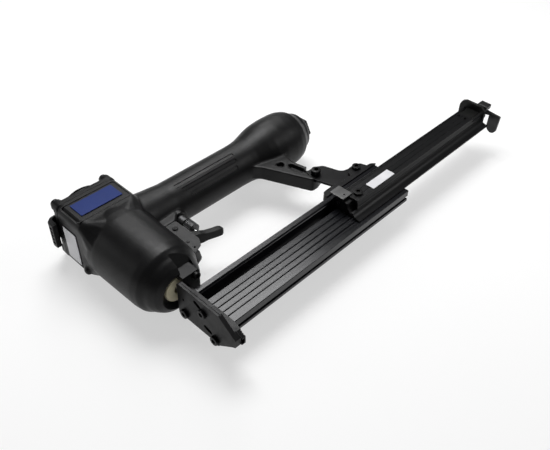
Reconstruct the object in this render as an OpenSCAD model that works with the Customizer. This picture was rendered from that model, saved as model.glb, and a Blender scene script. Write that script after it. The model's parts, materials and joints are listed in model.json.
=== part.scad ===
// Pneumatic flooring nailer, lying on its side with the magazine slider drawn out.
// Tool axes before place(): the driver runs down -Y along x = 0, z = 0 and leaves the nose at
// y = 0. X runs back along the handle and the magazine, Z stands out of the upper flank.

/* [Barrel and head] */
// Outer radius of the barrel at its top
barrel_r = 34; // [33.5:0.25:35]
// Height on the driver axis where the round barrel turns into the square head
head_y = 167; // [166:0.5:168]
// Half the width of the square head
head_half = 31; // [30.5:0.25:31.5]
// Height on the driver axis of the joint between head and cap
cap_y = 198; // [197:0.5:199]
// Radius of the bore in the housing
bore_r = 27.5; // [27:0.1:27.6]

/* [Drive] */
// Inner radius of the cylinder sleeve
sleeve_ri = 22.5; // [22:0.1:22.8]
// Outer radius of the cylinder sleeve
sleeve_ro = 25; // [24.5:0.1:25.4]
// Stroke of the driver
stroke = 58; // [50:1:58]
// Width of the driver blade across the nail
blade_w = 5; // [4:0.25:5]
// Thickness of the driver blade along the nail strip
blade_t = 2.2; // [1.8:0.1:2.2]

/* [Handle] */
// Outer radius of the grip
grip_r = 21.5; // [21:0.25:22]
// Height on the driver axis of the handle's centre line
handle_y = 165; // [164:0.5:166]
// Distance from the driver axis to the rear end of the handle casting
handle_end = 232; // [231:0.5:234]
// Half thickness of the arm that carries the magazine
arm_half = 7.5; // [7:0.25:8]

/* [Trigger] */
// Distance of the trigger pivot behind the driver axis
pivot_x = 38.5; // [38.5:0.25:39]
// Height of the trigger pivot on the driver axis
pivot_y = 126; // [125.5:0.25:126.5]
// Distance of the trigger valve behind the driver axis
valve_x = 55; // [54.5:0.25:55.5]

/* [Magazine] */
// Distance from the driver axis to the rear end of the fixed rail
rail_end = 241; // [236:1:241]
// Height of the nail bed above the middle plane
bed_z = -1; // [-1.2:0.1:-0.9]
// Overall thickness of the fixed rail under the nail bed
rail_depth = 14; // [12:0.5:14]
// Length of the moving cover
slider_len = 226; // [220:1:226]
// How far the cover is drawn out from its closed place
slider_out = 154; // [150:1:154]

/* [Hidden] */
$fn = 64;
e = 0.01;
front_x = -38;        // front face of the exhaust deflector
rear_x = 410;         // back of the latch lever
top_y = 217;          // top of the exhaust deflector
half_z = barrel_r;    // the barrel is the thickest part

// The housing
floor_y = 88;         // floor of the bore
neck_r = 13;          // hole for the bumper's neck
neck_start = 76;      // lower end of the bumper's neck
dome_y = 72;          // lower end of the barrel's dome
reservoir_r = 16.5;   // air space in the handle
seat_r = 18.5;        // thread of the handle's end cap
bulb_r = 29.5;        // widest radius of the handle's rear end
corner = 25;          // cap screws from the driver axis, both ways
screw_r = 2.5;
boss_r = 5.5;

// Head valve, sleeve and piston
sleeve_top = 182;
valve_gap = 0.3;
valve_h = 8;
piston_y = 170;
piston_h = 11;
bumper_top = 109;
fit = 0.08;           // running clearance on a radius
ring_wire = 1;
ring_y = [142, sleeve_top + 4, piston_y + 5];   // sleeve, head valve, piston

// The trigger valve
valve_r = 6;

// The nose
nose_half = 17.5;
nose_back = 4.5;
plate_front = -7;
track_half = blade_t / 2 + 0.2;
nose_top = 69;
flange_top = 86;
flange_back = 16.5;   // rear face of the flange
flange_screw_x = 12;
guide_top = 7;        // upper side of the nose body behind the front plate
face_back = -3;       // back of the front plate's outer wall
nose_screws_at = [[61, -12.5], [38.5, 5.5], [25, -15]];    // [y, z]

// The magazine, profiles in [y, z]
rail_start = 4.6;
rail_low = 19;
lip_y = 56.5;
lip_top_y = 62;
lip_z = 7;
rib_steps = [27, 32.8, 38.8, 44.8, 51];
slider_start = 15.5 + slider_out;
slider_z = 13.5;
end_plate_t = 4;
slider_end = slider_start + slider_len;
latch_x = 405.5;
latch_y = 37;
latch_block = latch_x + 4 - slider_end - end_plate_t;
open_len = 19.5;      // open length of the cover's top ahead of the end plate
foot_z = 9.9;         // lower side of the end plate's foot
foot_len = 30;
end_screws_y = [40, 48];

// Moves the tool so that the origin is at the middle of its box, on the surface it lies on
module place() { translate([-(front_x + rear_x) / 2, -top_y / 2, half_z]) children(); }

// Turn shapes made along +Z so that they run along +Y or +X from the given start
module along_y(y = 0) { translate([0, y, 0]) rotate([-90, 0, 0]) children(); }
module along_x(x = 0) { translate([x, 0, 0]) rotate([0, 90, 0]) children(); }
// Extrudes an outline drawn in [y, z] along X
module profile_x(x, length) { translate([x, 0, 0]) rotate([90, 0, 90]) linear_extrude(length) children(); }
// Extrudes an outline drawn in [x, y] along Z
module profile_z(z, height) { translate([0, 0, z]) linear_extrude(height) children(); }

module tube_y(y, length, outer, inner) {
    along_y(y) difference() {
        cylinder(r = outer, h = length);
        translate([0, 0, -1]) cylinder(r = inner, h = length + 2);
    }
}

module round_square(half, r) {
    square([2 * half, 2 * (half - r)], center = true);
    square([2 * (half - r), 2 * half], center = true);
    for (sx = [-1, 1], sy = [-1, 1]) translate([sx * (half - r), sy * (half - r)]) circle(r);
}

module slot_2d(length, r) {
    for (s = [-1, 1]) translate([s * (length / 2 - r), 0]) circle(r);
    square([length - 2 * r, 2 * r], center = true);
}

module at_corners() {
    for (sx = [-1, 1], sz = [-1, 1]) translate([sx * corner, 0, sz * corner]) children();
}

// A socket head cap screw along +Z, its head's seat at z = 0 and its shank going down
module cap_screw(head_r, head_h, shank_r, shank_l) {
    difference() {
        cylinder(r = head_r, h = head_h, $fn = 32);
        translate([0, 0, head_h * 0.4]) cylinder(r = head_r * 0.5, h = head_h, $fn = 6);
    }
    translate([0, 0, -shank_l]) cylinder(r = shank_r, h = shank_l + e, $fn = 32);
}

// A coil spring as a stack of rings joined by a thin sleeve, along +Z
module spring_z(r, wire, length, turns) {
    for (i = [0:turns - 1]) translate([0, 0, wire + i * (length - 2 * wire) / (turns - 1)])
        rotate_extrude($fn = 32) translate([r, 0]) circle(wire, $fn = 16);
    difference() {
        cylinder(r = r + wire * 0.3, h = length, $fn = 32);
        translate([0, 0, -1]) cylinder(r = r - wire * 0.3, h = length + 2, $fn = 32);
    }
}

// An O-ring that lies in its groove, flush with a wall of the given radius, and the groove itself
module o_ring(wall_r, wire) { rotate_extrude() translate([wall_r - wire - 0.05, 0]) circle(wire, $fn = 16); }
module o_groove(wall_r, wire) {
    depth = 2 * wire + 0.1;
    rotate_extrude() translate([wall_r - depth, -wire - 0.1]) square([depth + 1, 2 * wire + 0.2]);
}

// ---- housing ---------------------------------------------------------------------------

module barrel_solid() {
    along_y() rotate_extrude($fn = 96) polygon([[0, dome_y], [13, dome_y], [19, 74], [24, 77.5],
        [28, 82], [31, 87], [barrel_r - 1.5, 92], [barrel_r, 150], [barrel_r, head_y + 1], [0, head_y + 1]]);
}

module handle_solid() {
    translate([0, handle_y, 0]) {
        along_x() cylinder(r = grip_r, h = 176);
        along_x() rotate_extrude($fn = 96) polygon([[0, 150], [grip_r, 165], [24, 171], [27, 177],
            [28.8, 185], [bulb_r, 196], [bulb_r, 210], [28.8, 218], [26.8, 225], [23.5, 230],
            [21, handle_end], [0, handle_end]]);
    }
}

module arm_solid() {
    profile_z(-arm_half, 2 * arm_half) polygon([[146, 150], [157.5, 137.5], [179, 88.5], [187, 88.5],
        [199, 92], [199, 104], [190, 107], [186.5, 124], [192, 142], [192, 160], [160, 160]]);
}

module arm_pockets() {
    profile_z(arm_half - 5, 6) polygon([[169, 132], [180, 130], [174, 124]]);
    profile_z(arm_half - 5, 6) polygon([[179, 122], [183, 122], [186, 107], [181, 103], [177, 116]]);
    // Seat of the magazine bracket
    profile_z(2, 10) polygon([[179, 80], [182, 104], [196, 110], [210, 110], [210, 80]]);
}

// Three shallow slots round the grip's upper flank, each [middle, turn, length]
module grip_grooves() {
    for (groove = [[103, 14.5, 74], [104.7, 31.5, 67.5], [106.3, 50.5, 59]])
        translate([groove[0], handle_y, 0]) rotate([groove[1], 0, 0])
            profile_z(grip_r - 0.8, 6) slot_2d(groove[2], 1.9);
}

module housing() {
    place() color("#26262a") difference() {
        union() {
            barrel_solid();
            along_y(head_y - 1) linear_extrude(cap_y - head_y + 1) round_square(head_half, 8);
            handle_solid();
            arm_solid();
            // Boss over the trigger, between barrel and handle
            profile_z(-9.5, 19) polygon([[20, 134], [47, 134], [53, 141], [53, 156], [20, 156]]);
            translate([valve_x, 0, 0]) along_y(140) cylinder(r = valve_r + 3, h = 12);
            // Lug at the lower front corner of the head
            translate([-29.5, 165, -21]) sphere(r = 4.5);
        }
        along_y(floor_y) cylinder(r = bore_r, h = cap_y - floor_y + 1);
        along_y(dome_y - 1) cylinder(r = neck_r, h = floor_y - dome_y + 2);
        translate([0, handle_y, 0]) {
            along_x(20) cylinder(r = reservoir_r, h = handle_end);
            along_x(handle_end - 12) cylinder(r = seat_r, h = 13);
        }
        translate([valve_x, 0, 0]) along_y(132) cylinder(r = valve_r, h = 19);
        at_corners() along_y(cap_y - 20) cylinder(r = screw_r, h = 21);
        // Room for the nose flange, and the recess round the bumper's neck
        translate([-track_half - 0.3, dome_y - 5, -nose_half - 0.3])
            cube([flange_back + track_half + 0.6, flange_top - dome_y + 5, 2 * nose_half + 0.6]);
        translate([1, dome_y - 5, nose_half]) cube([flange_back, flange_top - dome_y + 5, 20]);
        along_y(dome_y - 1) cylinder(r1 = 19.3, r2 = neck_r + 1, h = 6);
        for (s = [-1, 1]) translate([flange_screw_x, 0, s * 13])
            along_y(flange_top - 1) cylinder(r = 2, h = 2.4);
        arm_pockets();
        translate([190, 95, -arm_half - 1]) cylinder(r = screw_r, h = 12);
        grip_grooves();
    }
}

// ---- head, cap and exhaust ------------------------------------------------------------

module cylinder_cap() {
    place() color("#242428") difference() {
        union() {
            along_y(cap_y + 1) linear_extrude(5.5) round_square(head_half, 8);
            at_corners() along_y(cap_y + 1) cylinder(r = boss_r, h = 10);
            along_y(cap_y + 6) cylinder(r1 = 29.5, r2 = 27, h = 6);
        }
        along_y(cap_y) cylinder(r = bore_r, h = 4.5);
        // Guide of the head valve's stem
        along_y(cap_y) cylinder(r = 8, h = 10);
        along_y(cap_y + 9) cylinder(r = screw_r, h = 4);
        at_corners() along_y(cap_y) cylinder(r = screw_r, h = 12);
    }
}

module cap_gasket() {
    place() color("#101012") difference() {
        along_y(cap_y) linear_extrude(1) round_square(head_half - 0.3, 8);
        along_y(cap_y - 1) cylinder(r = bore_r, h = 4);
        at_corners() along_y(cap_y - 1) cylinder(r = screw_r, h = 4);
    }
}

module cap_screws() {
    place() color("#1c1c1e") at_corners() translate([0, cap_y + 11, 0]) rotate([-90, 0, 0])
        cap_screw(4, 3, screw_r, 28);
}

module exhaust_deflector() {
    place() color("#141416") difference() {
        union() {
            translate([0, cap_y + 12, 0]) along_y() rotate_extrude($fn = 96)
                polygon([[0, 0], [27.5, 0], [27.5, 1], [25.5, 3], [22, 5], [17, 6.4], [12, 7], [0, 7]]);
            // Outlet that hangs over the front of the cap
            profile_z(-13, 26) translate([front_x, cap_y]) polygon([[0, 1.5], [5, 1.5], [5, 10.2],
                [8.3, 12.1], [18, 12.1], [18, 14.6], [5, 13.4], [0, 9]]);
        }
        along_y(cap_y + 11) cylinder(r = screw_r, h = 12);
        along_y(cap_y + 16) cylinder(r = 5, h = 12);
    }
}

module deflector_screw() {
    place() color("#1c1c1e") translate([0, cap_y + 16, 0]) rotate([-90, 0, 0])
        cap_screw(4.5, 2.5, screw_r, 7);
}

module cylinder_sleeve() {
    place() color("#b9bcc0") difference() {
        union() {
            along_y(floor_y) cylinder(r = bore_r, h = 5);
            along_y(floor_y) cylinder(r = sleeve_ro, h = sleeve_top - floor_y);
            along_y(140) cylinder(r = bore_r, h = 4);
        }
        along_y(floor_y - 1) cylinder(r = sleeve_ri, h = 100);
        for (y = [98, 130], a = [0:60:300]) along_y(y) rotate([0, 0, a]) rotate([0, 90, 0])
            cylinder(r = 1.5, h = 30, $fn = 24);
        along_y(ring_y[0]) o_groove(bore_r, ring_wire);
    }
}

module sleeve_rings() {
    place() color("#0e0e0f") along_y(ring_y[0]) o_ring(bore_r, ring_wire);
}

module bumper() {
    place() color("#e4dfc8") difference() {
        union() {
            along_y(floor_y) cylinder(r = sleeve_ri - 0.1, h = bumper_top - floor_y);
            along_y(neck_start) cylinder(r = neck_r - 0.05, h = floor_y - neck_start + 1);
        }
        along_y(dome_y - 1) cylinder(r = 4.5, h = 60);
    }
}

module head_valve() {
    place() color("#cfcabb") difference() {
        union() {
            along_y(sleeve_top + valve_gap) cylinder(r = bore_r - fit, h = valve_h);
            along_y(sleeve_top + valve_gap) cylinder(r = 8 - fit, h = valve_h + 11);
        }
        along_y(ring_y[1]) o_groove(bore_r - fit, ring_wire);
        along_y(sleeve_top + valve_gap + 4) cylinder(r = 4, h = 30);
    }
}

module head_valve_ring() {
    place() color("#0e0e0f") along_y(ring_y[1]) o_ring(bore_r - fit, ring_wire);
}

module head_valve_spring() {
    place() color("#9a9da1") along_y(sleeve_top + valve_gap + valve_h + 0.1) spring_z(14, 0.9, 11.9, 4);
}

module piston() {
    place() color("#8d9094") difference() {
        union() {
            along_y(piston_y) cylinder(r = sleeve_ri - fit, h = piston_h);
            along_y(piston_y - 2) cylinder(r = 8, h = 3);
        }
        along_y(ring_y[2]) o_groove(sleeve_ri - fit, ring_wire);
        translate([-blade_t / 2, piston_y - 5, -blade_w / 2]) cube([blade_t, 9, blade_w]);
        along_y(piston_y + 7) cylinder(r = 12, h = 6);
    }
}

module piston_ring() { place() color("#0e0e0f") along_y(ring_y[2]) o_ring(sleeve_ri - fit, ring_wire); }

module driver_blade() {
    place() color("#c8cacd") translate([-blade_t / 2, stroke, -blade_w / 2])
        cube([blade_t, piston_y + 4 - stroke, blade_w]);
}

// ---- handle end -----------------------------------------------------------------------

module end_cap() {
    place() color("#202024") translate([0, handle_y, 0]) difference() {
        union() {
            along_x(handle_end) cylinder(r1 = 21, r2 = 19, h = 7);
            along_x(handle_end - 10) cylinder(r = seat_r, h = 11);
        }
        along_x(handle_end - 11) cylinder(r = 8.5, h = 20);
        along_x(handle_end - 7) o_groove(seat_r, ring_wire);
    }
}

module end_cap_ring() {
    place() color("#0e0e0f") translate([0, handle_y, 0]) along_x(handle_end - 7) o_ring(seat_r, ring_wire);
}

module air_inlet() {
    place() color("#2b2b2f") translate([0, handle_y, 0]) difference() {
        union() {
            along_x(handle_end + 7) cylinder(r = 14.5, h = 7, $fn = 6);
            along_x(handle_end - 8) cylinder(r = 8.5, h = 15 + e);
        }
        along_x(handle_end - 9) cylinder(r = 4.5, h = 30);
        along_x(handle_end + 2) cylinder(r = 5.72, h = 14);
    }
}

// ---- trigger --------------------------------------------------------------------------

module trigger() {
    place() color("#161618") difference() {
        union() {
            translate([pivot_x, pivot_y, -5.8]) cylinder(r = 3.4, h = 11.6);
            profile_z(-5.8, 11.6) polygon([[pivot_x - 1, pivot_y - 2.5], [pivot_x + 3, pivot_y - 1.5],
                [46, 117], [56, 112.4], [66, 108.6], [73, 105.6], [74.4, 103.6], [73.4, 101.6],
                [65, 104.4], [55, 107.6], [46, 111], [41, 116], [37, 122]]);
        }
        translate([pivot_x, pivot_y, -7]) cylinder(r = 1.55, h = 14);
    }
}

module trigger_pin() {
    place() color("#b4b6b9") {
        translate([pivot_x, pivot_y, -9.6]) cylinder(r = 1.5, h = 19.2);
        for (z = [-10.2, 9]) translate([pivot_x, pivot_y, z]) cylinder(r = 2.6, h = 1.2);
    }
}

module trigger_plates() {
    place() color("#34343a") for (z = [-9, 7]) difference() {
        profile_z(z, 2) polygon([[28.5, 134], [45.5, 134], [45.5, 103], [42, 96], [30, 91], [26.5, 98]]);
        barrel_and_clear();
        translate([pivot_x, pivot_y, -10]) cylinder(r = 1.5, h = 20);
        for (y = [105.5, 96.5]) translate([35.5, y, -10]) cylinder(r = 1, h = 20);
    }
}

// The barrel's own outline, so that the plates end on it
module barrel_and_clear() {
    along_y(80) cylinder(r = barrel_r - 1.5 + e, h = 12);
    along_y(92) cylinder(r1 = barrel_r - 1.5, r2 = barrel_r, h = 58);
}

module plate_rivets() {
    place() color("#6a6a6e") translate([35.5, 105.5, -9.4]) cylinder(r = 1, h = 18.8);
}

module trigger_valve_body() {
    place() color("#9b9da0") translate([valve_x, 0, 0]) difference() {
        union() {
            along_y(132.5) cylinder(r = valve_r, h = 19);
            along_y(121) cylinder(r = valve_r, h = 9.5);
            along_y(121) for (a = [0:15:345]) rotate([0, 0, a]) translate([valve_r, 0, 0])
                cylinder(r = 0.5, h = 9.5, $fn = 16);
            along_y(130) cylinder(r = valve_r - 1, h = 4);
        }
        along_y(120) cylinder(r = 2.05, h = 33);
        along_y(128) cylinder(r = 4, h = 20);
    }
}

module trigger_valve_ring() {
    place() color("#0e0e0f") translate([valve_x, 0, 0]) tube_y(130.6, 1.8, valve_r + 0.4, valve_r - 1);
}

module trigger_valve_stem() {
    place() color("#c9cbce") translate([valve_x, 0, 0]) {
        along_y(113.95) cylinder(r = 1.98, h = 27.45);
        along_y(128.2) cylinder(r = 3.6, h = 3);
    }
}

module trigger_valve_spring() {
    place() color("#9a9da1") translate([valve_x, 0, 0]) along_y(131.4) spring_z(3, 0.35, 16.4, 8);
}

// ---- nose -----------------------------------------------------------------------------

module nose_outline(tip) {
    polygon([[nose_top, nose_half], [20, nose_half], [5, 6], [tip, 4], [tip, -4], [5, -6],
        [20, -nose_half], [nose_top, -nose_half]]);
}

module nose_body() {
    place() color("#3a3a40") difference() {
        union() {
            profile_x(-track_half, nose_back + track_half) intersection() {
                nose_outline(0);
                translate([-1, -nose_half]) square([nose_top + 2, nose_half + guide_top]);
            }
            translate([-track_half, nose_top - e, -nose_half])
                cube([flange_back + track_half, flange_top - nose_top, 2 * nose_half]);
        }
        // Driver track and the slot through which the nails enter it
        translate([-track_half - 1, -1, -blade_w / 2 - 0.3]) cube([2 * track_half + 1, 90, blade_w + 0.6]);
        translate([0, 21, bed_z]) cube([nose_back + 1, 37, 3]);
        along_y(dome_y - 1) cylinder(r = neck_r + 0.2, h = 20);
        for (p = nose_screws_at) profile_point(p) along_x(-5) cylinder(r = 1.6, h = 12, $fn = 32);
        for (s = [-1, 1]) translate([flange_screw_x, 0, s * 13])
            along_y(nose_top - 1) cylinder(r = 2, h = 20);
    }
}

module profile_point(p) { translate([0, p[0], p[1]]) children(); }

module nose_front_plate() {
    place() color("#303036") difference() {
        union() {
            profile_x(plate_front, face_back - plate_front) nose_outline(1.5);
            // Inner step against the nose body, and lugs along the lower edge
            profile_x(face_back - e, -face_back - track_half + e) intersection() {
                nose_outline(1.5);
                translate([0, -nose_half]) square([nose_top + 1, nose_half + guide_top]);
            }
            for (p = [nose_screws_at[0], nose_screws_at[2]]) profile_point(p) along_x(plate_front)
                cylinder(r = 5.6, h = -plate_front - track_half, $fn = 32);
        }
        profile_x(plate_front - 1, 4) translate([44.7, 10.5]) rotate(25) slot_2d(9, 2);
        profile_x(plate_front - 1, 4) translate([33.2, -9.4]) rotate(18) slot_2d(10, 2);
        for (p = nose_screws_at) profile_point(p) along_x(plate_front - 1)
            cylinder(r = 1.6, h = 12, $fn = 32);
        profile_point([62, 3]) along_x(plate_front - 1) cylinder(r = 1.2, h = 4, $fn = 24);
    }
}

module nose_screws() {
    place() color("#1a1a1c") for (p = nose_screws_at) profile_point(p) along_x(plate_front)
        rotate([180, 0, 0]) cap_screw(4.2, 3, 1.6, 9);
}

module nose_flange_screws() {
    place() color("#1a1a1c") for (s = [-1, 1]) translate([flange_screw_x, nose_top, s * 13])
        rotate([90, 0, 0]) cap_screw(3.6, 3, 2, 18);
}

// ---- magazine -------------------------------------------------------------------------

module magazine_rail() {
    low_z = bed_z - rail_depth;
    place() color("#4a4b52") difference() {
        profile_x(rail_start, rail_end - rail_start) polygon([[rail_low + 1, low_z], [lip_top_y, low_z],
            [lip_top_y, lip_z - 1], [lip_top_y - 1, lip_z], [lip_y, lip_z], [lip_y, lip_z - 2],
            [lip_y, -7], [51, -7], [51, bed_z], [rail_low, bed_z], [rail_low, -8], [rail_low + 2.4, -8],
            [rail_low + 2.4, -11], [rail_low, -11], [rail_low, low_z + 1]]);
        // Steps for the different nail lengths
        for (y = rib_steps) profile_x(rail_start - 1, rail_end) translate([y - 0.5, bed_z - 0.6])
            square([1, 1]);
        // Channel along the back
        profile_x(rail_start - 1, rail_end) translate([30, low_z - 1]) square([20, 7]);
    }
}

module rail_clamp() {
    place() color("#303036") difference() {
        union() {
            profile_z(-8, lip_z + 8.3) polygon([[168, lip_top_y], [168, 64], [173, 67], [232, 67], [243, 64],
                [243, lip_top_y]]);
            profile_z(5, 3) polygon([[209, 66], [214, 74], [219, 76], [227, 76], [232, 73], [234, 66]]);
        }
        translate([223, 71, -12]) cylinder(r = screw_r, h = 24);
    }
}

module magazine_bracket() {
    place() color("#5a5a5c") difference() {
        profile_z(2, 3) polygon([[182.5, 92], [190.5, 67], [230, 67], [230, 76], [212, 80], [206, 99],
            [198, 104], [186, 104]]);
        translate([190, 95, 0]) cylinder(r = screw_r, h = 12);
        translate([223, 71, 0]) cylinder(r = screw_r, h = 12);
    }
}

module bracket_screws() {
    place() color("#1a1a1c") {
        translate([190, 95, 5]) cap_screw(4.8, 6, screw_r, 12);
        translate([223, 71, 8]) cap_screw(4.8, 5, screw_r, 10);
    }
}

module slider_cover() {
    outer = [[23.4, -0.6], [23.4, 0.8], [26.5, 1.2], [29, 2], [31, 3.8], [32.4, 6.4], [33, 9.4],
        [34, slider_z], [52.5, slider_z], [56, 9.2], [56, -0.4], [54.2, -0.4], [54.2, 8.4], [51.6, 11.6],
        [35.6, 11.6], [34.8, 8.4], [34, 5.4], [32.2, 2.4], [29.8, 0.6], [27.5, -0.1], [26, -0.6]];
    place() color("#55565c") difference() {
        profile_x(slider_start, slider_len) polygon(outer);
        translate([slider_end - open_len, 30, 6.2]) cube([open_len + 1, 30, 20]);
        translate([slider_start + 18, 41, 0]) cylinder(r = 1.5, h = 20, $fn = 32);
        at_end_screws() cylinder(r = 0.6, h = 9, center = true, $fn = 24);
    }
}

module at_end_screws() {
    for (y = end_screws_y) translate([slider_end - open_len - 5, y, slider_z]) children();
}

module slider_tab() {
    place() color("#9fa1a4") difference() {
        translate([slider_start, 44, slider_z]) cube([13, 16, 1.2]);
        translate([slider_start + 6, 48, slider_z - 1]) cylinder(r = 1, h = 4, $fn = 24);
    }
}

module slider_screw() {
    place() color("#8d8f92") translate([slider_start + 18, 41, slider_z]) cap_screw(4, 2.4, 1.5, 1.8);
}

module slider_end_plate() {
    place() color("#2a2b2a") difference() {
        union() {
            profile_x(slider_end, end_plate_t) polygon([[31, -1.5], [60, -1.5], [61.5, 0], [61.5, 12],
                [59.6, 16.5], [55.5, 18.6], [36, 18.6], [31, 15]]);
            // Foot under the cover's top
            translate([slider_end - foot_len, 36.5, foot_z]) cube([foot_len + e, 14.5, 11.5 - foot_z]);
        }
        profile_point([50, 7]) along_x(slider_end - 1) cylinder(r = 1.5, h = 9, $fn = 32);
        at_end_screws() cylinder(r = 0.6, h = 9, center = true, $fn = 24);
    }
}

module end_plate_screws() {
    place() color("#1a1a1c") at_end_screws() cap_screw(1.6, 1.2, 0.6, 3.5);
}

module pusher() {
    place() color("#1b1b1d") difference() {
        profile_x(slider_start + 1, 17) polygon([[32, -0.6], [32, 0.5], [35.6, 2.5], [38.9, 6.4],
            [39.3, 11.1], [51.2, 11.1], [53.6, 8.2], [53.6, -0.6]]);
        profile_point([50, 7]) along_x(slider_start) cylinder(r = 1.56, h = 30, $fn = 32);
    }
}

module pusher_rod() {
    place() color("#b4b6b9") profile_point([50, 7]) along_x(slider_start + 0.5)
        cylinder(r = 1.5, h = slider_len + end_plate_t - 1, $fn = 32);
}

module pusher_spring() {
    place() color("#9a9da1") profile_point([50, 7]) along_x(slider_start + 18.5)
        spring_z(2.2, 0.35, slider_len - 19, 30);
}

module latch_lever() {
    place() color("#3c3c40") difference() {
        union() {
            translate([latch_x, latch_y, 8]) cylinder(r = 4.5, h = 2.5);
            profile_z(8, 2.5) polygon([[latch_x - 4.4, latch_y], [404, 28.5], [404, 15.5], [406.4, 15.5],
                [408, 28.5], [latch_x + 4.4, latch_y]]);
            // Thumb tab, bent down along the lever's side
            profile_x(404, 2.4) polygon([[15.5, 8.5], [28.5, 8.5], [28.5, -6], [26.5, -9.8], [22.5, -12],
                [19, -11], [16.6, -8]]);
        }
        translate([latch_x, latch_y, 5]) cylinder(r = 2.05, h = 12);
    }
}

module latch_pin() {
    place() color("#8d8f92") {
        translate([latch_x, latch_y, 3]) cylinder(r = 2, h = 12);
        translate([slider_end + end_plate_t, latch_y - 6, 13.4]) cube([latch_block, 12, 5.2]);
        translate([slider_end + end_plate_t, latch_y - 4, 2.5]) cube([latch_block, 8, 2]);
    }
}

module latch_spring() {
    place() color("#9a9da1") translate([latch_x, latch_y, 10.7]) spring_z(2.8, 0.35, 2.5, 3);
}

// ---- plain plates in place of markings ------------------------------------------------

module head_plate() {
    place() color("#4a63b4") translate([-21.5, 173.5, head_half]) cube([42, 18, 0.6]);
}

module front_plate() {
    place() color("#c9c9cc") translate([-head_half - 0.6, 174, -21]) cube([0.6, 19, 35]);
}

module slider_plate() {
    place() color("#dedfe0") translate([203, 34.6, slider_z]) cube([33, 9.4, 0.4]);
}

housing();
cylinder_cap();
cap_gasket();
cap_screws();
exhaust_deflector();
deflector_screw();
cylinder_sleeve();
sleeve_rings();
bumper();
head_valve();
head_valve_ring();
head_valve_spring();
piston();
piston_ring();
driver_blade();
end_cap();
end_cap_ring();
air_inlet();
trigger();
trigger_pin();
trigger_plates();
plate_rivets();
trigger_valve_body();
trigger_valve_ring();
trigger_valve_stem();
trigger_valve_spring();
nose_body();
nose_front_plate();
nose_screws();
nose_flange_screws();
magazine_rail();
rail_clamp();
magazine_bracket();
bracket_screws();
slider_cover();
slider_tab();
slider_screw();
slider_end_plate();
end_plate_screws();
pusher();
pusher_rod();
pusher_spring();
latch_lever();
latch_pin();
latch_spring();
head_plate();
front_plate();
slider_plate();
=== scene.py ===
"""Looks, light and camera for the flooring nailer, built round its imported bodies.

Shapes are drawn in millimetres on the tool's own axes: X back along the handle, Y up the driver from
the nose tip to the cap, Z out of the upper flank, with the driver's axis at x = 0 and z = 0. `piece`
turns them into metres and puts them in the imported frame.
"""
import json
import math

import bmesh
import bpy
from mathutils import Matrix, Vector


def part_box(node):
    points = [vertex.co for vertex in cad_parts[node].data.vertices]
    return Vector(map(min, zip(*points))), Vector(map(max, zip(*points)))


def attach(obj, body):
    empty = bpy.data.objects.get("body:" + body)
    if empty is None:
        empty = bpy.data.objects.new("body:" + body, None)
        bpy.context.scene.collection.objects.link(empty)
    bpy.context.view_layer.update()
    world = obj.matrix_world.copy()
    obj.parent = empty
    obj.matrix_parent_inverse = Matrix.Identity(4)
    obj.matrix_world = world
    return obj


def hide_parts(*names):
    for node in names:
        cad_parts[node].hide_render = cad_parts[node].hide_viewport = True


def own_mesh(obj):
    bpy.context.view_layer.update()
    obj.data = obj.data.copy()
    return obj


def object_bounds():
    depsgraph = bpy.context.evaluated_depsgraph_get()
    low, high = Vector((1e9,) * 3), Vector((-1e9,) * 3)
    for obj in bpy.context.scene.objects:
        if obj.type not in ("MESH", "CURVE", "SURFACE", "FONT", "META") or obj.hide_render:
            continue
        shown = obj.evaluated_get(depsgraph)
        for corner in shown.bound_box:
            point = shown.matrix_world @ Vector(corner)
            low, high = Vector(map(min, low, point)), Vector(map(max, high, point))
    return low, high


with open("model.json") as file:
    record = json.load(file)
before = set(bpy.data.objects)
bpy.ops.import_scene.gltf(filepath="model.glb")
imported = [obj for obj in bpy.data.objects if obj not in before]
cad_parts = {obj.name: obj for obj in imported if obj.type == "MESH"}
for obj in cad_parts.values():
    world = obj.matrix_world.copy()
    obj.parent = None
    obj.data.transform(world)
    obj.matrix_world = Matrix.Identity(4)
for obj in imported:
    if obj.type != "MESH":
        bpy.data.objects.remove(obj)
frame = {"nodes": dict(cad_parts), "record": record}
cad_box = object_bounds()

MM = 0.001
piston_low, piston_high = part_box("piston")
TOOL = Matrix.Translation((
    (piston_low[0] + piston_high[0]) / 2,
    cad_box[0][1],
    (piston_low[2] + piston_high[2]) / 2,
)) @ Matrix.Scale(MM, 4)
TO_TOOL = TOOL.inverted()
CYCLE = {"X": (0, 1, 2), "Y": (1, 2, 0), "Z": (2, 0, 1)}


def span(node):
    """Lowest and highest corner of a CAD node, in tool millimetres."""
    return [TO_TOOL @ Vector(corner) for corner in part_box(node)]


def middle(node):
    """X and Y of the middle of a CAD node, in tool millimetres."""
    low, high = span(node)
    return (low.x + high.x) / 2, (low.y + high.y) / 2


# ---- sizes taken from the frame ----------------------------------------------------------------

BARREL_R = span("housing")[1].z
HEAD = span("cylinder_cap")[1].x
CAP_Y = span("cap_gasket")[0].y
BORE_R = span("head_valve")[1].x
TOP_Y = span("exhaust_deflector")[1].y
FRONT_X = span("exhaust_deflector")[0].x
HANDLE_END = span("housing")[1].x
HANDLE_Y = middle("air_inlet")[1]
GRIP_AXIS = (HANDLE_Y, 0)
GRIP_R = 21.5
BULB_R = 29.5
PIVOT = Vector((*middle("trigger_pin"), 0))
VALVE_X = middle("trigger_valve_stem")[0]
VALVE_AXIS = (0, VALVE_X)
PLATE_FRONT = span("nose_front_plate")[0].x
NOSE_HALF = span("nose_body")[1].z
FLANGE_TOP = span("nose_body")[1].y
RAIL_START, RAIL_END = span("magazine_rail")[0].x, span("magazine_rail")[1].x
BED_Z = -1.0
RAIL_LOW = span("magazine_rail")[0].z
SLIDER_START, SLIDER_END = span("slider_cover")[0].x, span("slider_cover")[1].x
SLIDER_Z = span("slider_cover")[1].z
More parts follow.
